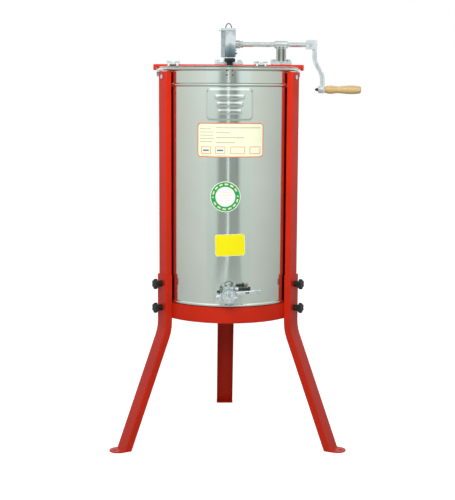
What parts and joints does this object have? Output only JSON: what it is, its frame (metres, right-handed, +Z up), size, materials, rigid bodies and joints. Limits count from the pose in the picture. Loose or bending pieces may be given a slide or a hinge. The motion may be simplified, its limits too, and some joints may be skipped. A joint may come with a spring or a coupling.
{
  "type": "honey extractor",
  "caption": "Hand-cranked honey extractor: steel drum with a gear-driven comb basket, hinged half lids and a swivel honey gate, on a red bolted tripod stand.",
  "frame": {"origin": "centre of the object's bounding box at floor level; the drum's axis stands 21.9 mm to -X and 65.6 mm to -Y of it", "axes": "+Z up along the drum's axis, -Y towards the honey gate at the front, +X towards the crank handle at the right"},
  "size_m": [0.686, 0.6028, 1.1525],
  "materials": {
    "red_paint": "semi-gloss red paint",
    "stainless": "bright rolled stainless sheet",
    "zinc_steel": "bright zinc plating",
    "cast_aluminium": "as cast, lightly polished",
    "gear_steel": "oiled cut steel",
    "bronze": "machined bearing bronze",
    "black_plastic": "moulded, fine satin",
    "black_rubber": "matt",
    "turned_wood": "turned, clear varnish",
    "dark_steel": "blackened steel"
  },
  "bodies": {
    "frame": {"support_hoop": "red_paint", "drum_shell": "stainless", "drum_floor": "stainless", "bottom_bearing": "bronze", "leg_upper_left": "red_paint", "leg_upper_right": "red_paint", "leg_upper_rear": "red_paint", "leg_lower_left": "red_paint", "leg_lower_right": "red_paint", "leg_lower_rear": "red_paint", "crossbar": "red_paint", "gearbox_base": "zinc_steel", "gearbox_bolt_left": "zinc_steel", "gearbox_bolt_right": "zinc_steel", "gearbox_case": "cast_aluminium", "gearbox_cover": "cast_aluminium", "gearbox_lid": "cast_aluminium", "shaft_bush": "bronze", "crank_bush": "zinc_steel", "crank_support": "cast_aluminium", "support_bush": "bronze", "support_bolt_inner": "zinc_steel", "support_bolt_outer": "zinc_steel", "hinge_front_left": "zinc_steel", "hinge_front_right": "zinc_steel", "hinge_rear_left": "zinc_steel", "hinge_rear_right": "zinc_steel", "gate_body": "zinc_steel", "gate_gasket": "black_rubber", "gate_nut": "zinc_steel", "gate_pivot_bolt": "zinc_steel"},
    "basket": {"main_shaft": "stainless", "basket_bottom_frame": "stainless", "basket_top_frame": "stainless", "basket_screen_front": "stainless", "basket_screen_rear": "stainless", "basket_guide_front": "stainless", "basket_guide_rear": "stainless", "shaft_pinion": "gear_steel"},
    "crank": {"crank_shaft": "zinc_steel", "crank_gear": "gear_steel", "shaft_collar": "zinc_steel", "crank_arm": "cast_aluminium", "crank_set_screw": "zinc_steel", "grip_spindle": "dark_steel"},
    "crank_grip": {"grip": "turned_wood"},
    "front_lid": {"lid_front": "stainless", "lid_knob_front": "black_plastic"},
    "rear_lid": {"lid_rear": "stainless", "lid_knob_rear": "black_plastic"},
    "gate": {"gate_shutter": "zinc_steel"},
    "gate_screw": {"gate_thumb_screw": "dark_steel"},
    "left_upper_knob": {"leg_knob_left_upper": "black_plastic"},
    "left_lower_knob": {"leg_knob_left_lower": "black_plastic"},
    "right_upper_knob": {"leg_knob_right_upper": "black_plastic"},
    "right_lower_knob": {"leg_knob_right_lower": "black_plastic"},
    "rear_upper_knob": {"leg_knob_rear_upper": "black_plastic"},
    "rear_lower_knob": {"leg_knob_rear_lower": "black_plastic"}
  },
  "joints": [
    {"name": "basket_spin", "type": "hinge", "parent": "frame", "child": "basket", "pos_m": [-0.02193, -0.0656, 0.4728], "axis": [0, 0, 1], "continuous": true},
    {"name": "crank_turn", "type": "hinge", "parent": "frame", "child": "crank", "pos_m": [-0.02193, -0.0656, 1.095], "axis": [1, 0, 0], "continuous": true},
    {"name": "grip_spin", "type": "hinge", "parent": "crank", "child": "crank_grip", "pos_m": [0.24277, -0.0656, 0.9735], "axis": [1, 0, 0], "continuous": true},
    {"name": "lid_front_open", "type": "hinge", "parent": "frame", "child": "front_lid", "pos_m": [-0.02193, -0.0921, 1.0475], "axis": [-1, 0, 0], "range_deg": [0, 95]},
    {"name": "lid_rear_open", "type": "hinge", "parent": "frame", "child": "rear_lid", "pos_m": [-0.02193, -0.0391, 1.0475], "axis": [1, 0, 0], "range_deg": [0, 95]},
    {"name": "gate_open", "type": "hinge", "parent": "frame", "child": "gate", "pos_m": [-0.05142, -0.2929, 0.4335], "axis": [0, -1, 0], "range_deg": [0, 80]},
    {"name": "gate_screw_turn", "type": "hinge", "parent": "frame", "child": "gate_screw", "pos_m": [-0.00013, -0.2806, 0.452], "axis": [1, 0, 0], "continuous": true},
    {"name": "left_upper_knob_turn", "type": "hinge", "parent": "frame", "child": "left_upper_knob", "pos_m": [-0.20318, -0.17025, 0.449], "axis": [-0.866, -0.5, 0], "continuous": true},
    {"name": "left_lower_knob_turn", "type": "hinge", "parent": "frame", "child": "left_lower_knob", "pos_m": [-0.20318, -0.17025, 0.3835], "axis": [-0.866, -0.5, 0], "continuous": true},
    {"name": "right_upper_knob_turn", "type": "hinge", "parent": "frame", "child": "right_upper_knob", "pos_m": [0.15933, -0.17025, 0.449], "axis": [0.866, -0.5, 0], "continuous": true},
    {"name": "right_lower_knob_turn", "type": "hinge", "parent": "frame", "child": "right_lower_knob", "pos_m": [0.15933, -0.17025, 0.3835], "axis": [0.866, -0.5, 0], "continuous": true},
    {"name": "rear_upper_knob_turn", "type": "hinge", "parent": "frame", "child": "rear_upper_knob", "pos_m": [-0.02193, 0.1437, 0.449], "axis": [0, 1, 0], "continuous": true},
    {"name": "rear_lower_knob_turn", "type": "hinge", "parent": "frame", "child": "rear_lower_knob", "pos_m": [-0.02193, 0.1437, 0.3835], "axis": [0, 1, 0], "continuous": true}
  ],
  "couplings": [
    {"joint": "crank_turn", "follows": "basket_spin", "ratio": -0.33333}
  ]
}
